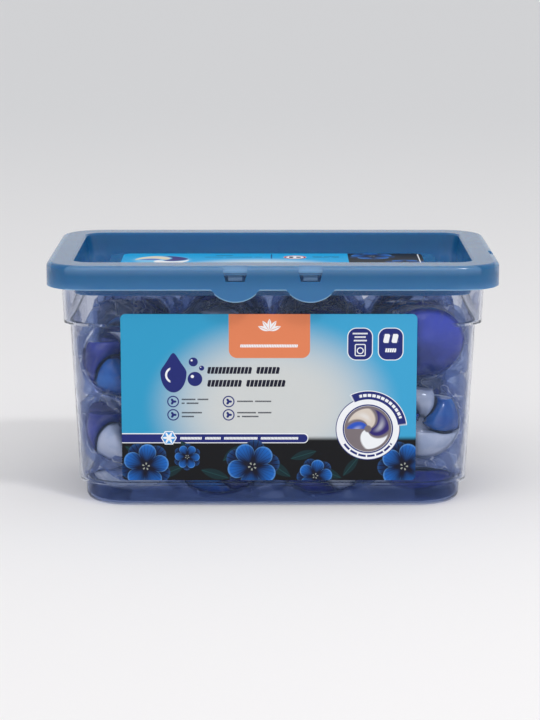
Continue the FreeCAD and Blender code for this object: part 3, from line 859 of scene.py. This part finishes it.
def sealed_skin(graph, size, upper):
    """The upper film with its four swirled chambers, or the lower film with its belly."""
    grid, share, out = grid_place(graph, 97, 24 if upper else 14)
    reach = out * size["Radius"]
    if upper:
        turn = swirl_turn(size, share, out)
        across = abs((share * CHAMBERS).math("FRACT") * 2 - 1)
        lobe = (1 - across ** 3.2).math("MAXIMUM", 0.0) ** 0.5 * 0.68 + 0.32
        height = chamber_bow(size, reach) * lobe
    else:
        turn = share * TURN
        pleat = (turn * PLEATS).math("COSINE") * out ** 4 * PLEAT_DEPTH + (1 - PLEAT_DEPTH / 2)
        height = belly_bow(size, reach) * pleat
    seam = size["Seam"] * 0.5 * graph.smooth(out, 1.0, 0.975)
    ruffle = (share * (CRIMPS * TURN)).math("SINE") * graph.smooth(out, 0.94, 1.0) * CRIMP_HEIGHT
    lift = height.math("MAXIMUM", seam) * (1 if upper else -1) + ruffle
    return wound(graph, marked_grid(graph, grid, out), reach, turn, lift, upper)


def loose_skin(graph, size, upper):
    """One face of the crumpled film outside the seam, wider at four corners."""
    grid, share, out = grid_place(graph, 49, 5)
    turn = share * TURN
    corner = abs((turn * 2).math("COSINE")) ** 2 * size["Flap Corner"]
    reach = size["Radius"] * (out * (size["Flap"] + corner) + LOOSE_START)
    round_place = graph.node("ShaderNodeCombineXYZ", {}, [turn.math("COSINE"), turn.math("SINE"), out])
    folds = graph.node("ShaderNodeTexNoise", {}, {"Vector": round_place, "Scale": 1.6})
    thick = (1 - (out * 2 - 1) ** 2) * (LOOSE_THICK if upper else -LOOSE_THICK)
    lift = out * ((folds - 0.5) * CRUMPLE) + (turn * WAVES).math("SINE") * out * WAVE_HEIGHT + thick
    return wound(graph, marked_grid(graph, grid, LOOSE_MARK), reach, turn, lift, upper)


def film_tree(material):
    """The whole film: two sealed skins and the two faces of the loose film."""
    tree, graph, size = start_tree("film rule")
    skins = [sealed_skin(graph, size, upper) for upper in (True, False)]
    skins += [loose_skin(graph, size, upper) for upper in (True, False)]
    end_tree(graph, skins, material)
    return tree


widest = LOOSE_START + pod_sizes["Flap"] + pod_sizes["Flap Corner"]
print("loose film reaches, in mm:", round(1000 * pod_sizes["Radius"] * widest, 1))


# %% [markdown]
# A gel fills its chamber almost to the film, so its tree uses the same rule with a slightly
# smaller shape. A gap stays between the two, because two surfaces in one place would flicker.

# %% The gels' trees
GEL_GAP = 0.0001         # between the seam's middle and a gel
GEL_INNER, GEL_OUTER = 0.06, 0.92      # a chamber's gel, in shares of the pod's radius
BELLY_OUTER, BELLY_SHARE = 0.93, 0.95  # the belly's gel, in shares of the radius and the depth


def chamber_tree(material):
    """The gel of the chamber that spans the first quarter turn, closed by a flat underside."""
    tree, graph, size = start_tree("chamber gel rule")
    skins = []
    for upper in (True, False):
        grid, share, out = grid_place(graph, 19, 15)
        out = out * (GEL_OUTER - GEL_INNER) + GEL_INNER
        reach = out * size["Radius"]
        turn = swirl_turn(size, share * (1 / CHAMBERS), out)
        lobe = (1 - abs(share * 2 - 1) ** 4).math("MAXIMUM", 0.0) ** 0.5 * 0.93
        from_middle = (out - (GEL_INNER + GEL_OUTER) / 2) / ((GEL_OUTER - GEL_INNER) / 2)
        edge = (1 - abs(from_middle) ** 8).math("MAXIMUM", 0.0)
        lift = chamber_bow(size, reach) * lobe * edge if upper else share * 0
        skins.append(wound(graph, grid, reach, turn, lift + GEL_GAP, upper))
    end_tree(graph, skins, material)
    return tree


def belly_tree(material):
    """The gel of the belly, closed by a flat top."""
    tree, graph, size = start_tree("belly gel rule")
    skins = []
    for lower in (True, False):
        grid, share, out = grid_place(graph, 49, 11)
        out = out * BELLY_OUTER
        reach = out * size["Radius"]
        lift = -(belly_bow(size, reach) * BELLY_SHARE) if lower else share * 0
        skins.append(wound(graph, grid, reach, share * TURN, lift - GEL_GAP, not lower))
    end_tree(graph, skins, material)
    return tree


def plain_mesh(tree):
    """A tree's result as a plain mesh."""
    holder = new_object(tree.name, bpy.data.meshes.new(tree.name))
    modifier = holder.modifiers.new(tree.name, "NODES")
    modifier.node_group = tree
    for item in tree.interface.items_tree:
        if item.in_out == "INPUT":
            modifier[item.identifier] = pod_sizes[item.name]
    depsgraph = bpy.context.evaluated_depsgraph_get()
    mesh = bpy.data.meshes.new_from_object(holder.evaluated_get(depsgraph))
    holder.modifiers.remove(modifier)
    bpy.data.objects.remove(holder)
    return mesh


print("gel gap in mm:", 1000 * GEL_GAP)


# %% [markdown]
# ## Film and gel
# The film is so thin that it doesn't bend the light: it is see-through with a gloss that grows
# at its edges and along its creases. The gels are deep, glossy and slightly cloudy, in three
# colours: violet navy, clear blue and a milky grey white. The real lid lets light through onto
# the upper pods. Here film and gels turn lighter with height instead.

# %% The film's material
LIT_FROM, LIT_FULL = 0.078, 0.098      # the heights between which pods grow lighter

film, graph, end = new_material("pod film")
place, _, _, z = object_place(graph)
out = graph.node("ShaderNodeAttribute", {"attribute_name": "out"}, output="Fac")
crease = noise(graph, place, 90.0, 2.0, 0.45)
fold = graph.smooth(abs(crease - 0.5), 0.02, 0.0)
facing = graph.node("ShaderNodeLayerWeight", {}, {"Blend": 0.25}, "Facing")
flange = graph.smooth(out, 0.93, 0.96)
rim = graph.smooth(out, 0.78, 0.97)
high = graph.smooth(z, LIT_FROM, LIT_FULL)
amount = 0.04 + facing ** 3 * 0.15 + fold * (rim * 0.22 + 0.05) + flange * 0.12
# Whiter along the folds is a painted highlight on the creases; whiter with height is painted light.
whiter = flange * 0.5 + fold * 0.6 + high * 0.5
gloss = graph.node("ShaderNodeBsdfPrincipled", {}, {
    "Base Color": graph.mix(whiter, colour(116, 150, 222), colour(240, 243, 248)),
    "Roughness": 0.05, "IOR": 2.0, "Specular IOR Level": 1.0,
    "Normal": bump(graph, crease + fold * 0.12, 0.0016, 0.7)})
bare = graph.node("ShaderNodeBsdfTransparent", {}, [
    graph.mix(flange, colour(250, 251, 253), colour(202, 214, 236))])
finish_with(graph, end, graph.node("ShaderNodeMixShader", {}, [amount, bare, gloss]))
print("film: nodes", len(film.node_tree.nodes))


# %% The gels' materials
def gel_material(name, deep, pale, lit):
    """A glossy gel whose colour drifts between two shades, lighter under the lid's blue light."""
    made, graph, end = new_material(name)
    place, _, _, z = object_place(graph)
    cloud = noise(graph, place, 70.0, 3.0)
    wave = noise(graph, place, 110.0, 2.0)
    high = graph.smooth(z, LIT_FROM, LIT_FULL)
    body = graph.mix(graph.smooth(cloud, 0.35, 0.65), deep, pale)
    finish_with(graph, end, graph.node("ShaderNodeBsdfPrincipled", {}, {
        "Base Color": graph.mix(high * 0.8, body, lit),
        "Roughness": 0.1 + cloud * 0.06, "IOR": 1.4, "Specular IOR Level": 0.2,
        "Coat Weight": 0.8, "Coat Roughness": 0.04,
        "Normal": bump(graph, wave, 0.0012, 0.35)}))
    return made


gels = [gel_material("violet gel", colour(26, 34, 116), colour(52, 60, 158), colour(84, 100, 235)),
        gel_material("blue gel", colour(8, 74, 152), colour(32, 112, 190), colour(40, 150, 250)),
        gel_material("milky gel", colour(180, 190, 206), colour(216, 219, 226), colour(235, 240, 250))]
print("gels:", [gel.name for gel in gels])

# %% [markdown]
# ## Laying the pods in their places
# Each CAD pod says where its pod lies. Its seam gives the axis and the middle, its belly gives
# the side, and its four domes give the turn. Then each gel is cut off at its own level, as a
# liquid is, and film and gels are joined into one piece for each pod.

# %% Where a CAD pod is
SEAM_BAND = 0.0002       # points this near the greatest radius are on the seam
DOME_FROM = 0.002        # surface this far above the seam belongs to a dome


def pod_pose(node):
    """The matrix that carries a pod at the origin to a CAD pod, found from its surface."""
    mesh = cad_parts[node].data
    mesh.calc_loop_triangles()
    points = np.empty(len(mesh.vertices) * 3)
    mesh.vertices.foreach_get("co", points)
    points = points.reshape(-1, 3)
    corners = np.empty(len(mesh.loop_triangles) * 3, dtype=np.int32)
    mesh.loop_triangles.foreach_get("vertices", corners)
    triangles = points[corners.reshape(-1, 3)]
    normals = np.cross(triangles[:, 1] - triangles[:, 0], triangles[:, 2] - triangles[:, 0]) / 2
    weight = np.linalg.norm(normals, axis=1)
    middles = triangles.mean(axis=1)
    centre = np.average(middles, axis=0, weights=weight)
    axis = np.linalg.eigh(np.cov((middles - centre).T, aweights=weight))[1][:, 0]
    away = points - centre
    level = away @ axis
    radial = np.linalg.norm(away - np.outer(level, axis), axis=1)
    seam = level[radial > radial.max() - SEAM_BAND].mean()
    if level.max() - seam > seam - level.min():
        axis, level, seam = -axis, -level, -seam
    centre = centre + axis * seam
    side = np.cross(axis, (1.0, 0.0, 0.0) if abs(axis[0]) < 0.8 else (0.0, 1.0, 0.0))
    side = side / np.linalg.norm(side)
    other = np.cross(axis, side)
    away = middles - centre
    raised = away @ axis > DOME_FROM
    angles = np.arctan2(away @ other, away @ side)[raised]
    lift = ((away @ axis) * weight)[raised]
    spin = (np.angle(np.sum(lift * np.exp(1j * CHAMBERS * angles))) - math.pi) / CHAMBERS
    turned = math.cos(spin) * side + math.sin(spin) * other
    rows = np.column_stack([turned, np.cross(axis, turned), axis])
    matrix = Matrix([[*row, 0] for row in rows] + [[0, 0, 0, 1]])
    matrix.translation = Vector(centre)
    return matrix


print("first pod at", [round(v, 4) for v in pod_pose("pod_01").translation])

# %% Keeping loose film inside the tub
ROOM_LOW, ROOM_HIGH = 0.0024, 0.1041             # the room between the floor and the lid
FOOT_HEIGHT, WALL_LEAN = 0.0116, 0.0437          # above the foot the walls lean outwards
ROOM_LONG, ROOM_DEEP = 0.0976, 0.0538            # half the room's length and depth there
FOOT_STEP, STEP_HEIGHT = 0.003, 0.013            # the foot is this much narrower, up to here
ROOM_CORNER = 0.0185


def press_in(spot):
    """A point of loose film kept inside the tub, pressed flat against its walls."""
    high = min(max(spot.z, ROOM_LOW), ROOM_HIGH)
    wider = (high - FOOT_HEIGHT) * WALL_LEAN - (FOOT_STEP if high < STEP_HEIGHT else 0)
    inner_x, inner_y = ROOM_LONG + wider - ROOM_CORNER, ROOM_DEEP + wider - ROOM_CORNER
    out_x, out_y = max(abs(spot.x) - inner_x, 0), max(abs(spot.y) - inner_y, 0)
    far = math.hypot(out_x, out_y)
    if far <= ROOM_CORNER:
        return Vector((spot.x, spot.y, high))
    x = inner_x + out_x * ROOM_CORNER / far if out_x else abs(spot.x)
    y = inner_y + out_y * ROOM_CORNER / far if out_y else abs(spot.y)
    return Vector((math.copysign(x, spot.x), math.copysign(y, spot.y), high))


def film_skin(source, matrix):
    """The film in its place as a bmesh, its loose part pressed in and left unsmoothed."""
    skin = bmesh.new()
    skin.from_mesh(source)
    skin.transform(matrix)
    loose = skin.verts.layers.float["out"]
    for vertex in skin.verts:
        if vertex[loose] > LOOSE_FROM:
            vertex.co = press_in(vertex.co)
    for face in skin.faces:
        face.material_index = 0
        face.smooth = face.verts[0][loose] < LOOSE_FROM
    return skin


print("room inside the tub in mm:", round(2000 * ROOM_LONG, 1), round(2000 * ROOM_DEEP, 1))


# %% Pouring a gel, and joining a pod's parts
def poured(source, matrix, fill, tilt, number):
    """A gel in its place, cut off at its level, as a closed mesh in a bmesh."""
    form = bmesh.new()
    form.from_mesh(source)
    form.transform(matrix)
    heights = [vertex.co.z for vertex in form.verts]
    level = min(heights) + fill * (max(heights) - min(heights))
    middle = sum((vertex.co for vertex in form.verts), Vector()) / len(form.verts)
    everything = form.verts[:] + form.edges[:] + form.faces[:]
    bmesh.ops.bisect_plane(form, geom=everything, plane_co=(middle.x, middle.y, level),
                           plane_no=Vector((tilt[0], tilt[1], 1)).normalized(), clear_outer=True)
    rim = [edge for edge in form.edges if edge.is_boundary]
    top = bmesh.ops.holes_fill(form, edges=rim, sides=0)["faces"]
    bmesh.ops.recalc_face_normals(form, faces=form.faces[:])
    for face in form.faces:
        face.material_index = number
        face.smooth = True
    for face in top:
        face.smooth = False
    return form


def joined_mesh(name, forms, materials):
    """Several closed forms as one mesh."""
    mesh = bpy.data.meshes.new(name)
    whole = bmesh.new()
    whole.verts.layers.float.new("out")
    for form in forms:
        single = bpy.data.meshes.new("part")
        form.to_mesh(single)
        form.free()
        whole.from_mesh(single)
        bpy.data.meshes.remove(single)
    whole.to_mesh(mesh)
    whole.free()
    for material in materials:
        mesh.materials.append(material)
    return mesh


def quarter_turn(number):
    """A turn round a pod's own axis by so many quarters."""
    return Matrix.Rotation(math.radians(90 * number), 4, "Z")


film_mesh = plain_mesh(film_tree(film))
chamber_mesh = plain_mesh(chamber_tree(gels[0]))
belly_mesh = plain_mesh(belly_tree(gels[0]))
print("faces:", len(film_mesh.polygons), len(chamber_mesh.polygons), len(belly_mesh.polygons))

# %% Each pod in its place
LEVEL_TILT = 0.12                      # how much a gel's level may lean
BELLY_FILL, CHAMBER_FILL = (0.62, 0.98), (0.65, 0.98)
BELLY_GELS = (1, 1, 2, 3, 3)           # a gel's number is its place among the pod's materials
CHAMBER_GELS = ((1, 3, 2, 3), (1, 3, 1, 2), (2, 1, 3, 1))

chance = random.Random(11)
for name in sorted(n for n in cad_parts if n.startswith("pod_")):
    pose = pod_pose(name) @ quarter_turn(chance.randrange(CHAMBERS))
    tilt = (chance.uniform(-LEVEL_TILT, LEVEL_TILT), chance.uniform(-LEVEL_TILT, LEVEL_TILT))
    belly_fill, belly_gel = chance.uniform(*BELLY_FILL), chance.choice(BELLY_GELS)
    forms = [film_skin(film_mesh, pose), poured(belly_mesh, pose, belly_fill, tilt, belly_gel)]
    for quarter, number in enumerate(chance.choice(CHAMBER_GELS)):
        turned = pose @ quarter_turn(quarter)
        forms.append(poured(chamber_mesh, turned, chance.uniform(*CHAMBER_FILL), tilt, number))
    mesh = joined_mesh("soft_" + name, forms, [film, *gels])
    pod = new_object("soft_" + name, mesh)
    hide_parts(name)
    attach(pod, "tub")
print("pods made, faces in the last:", len(mesh.polygons))

# %% [markdown]
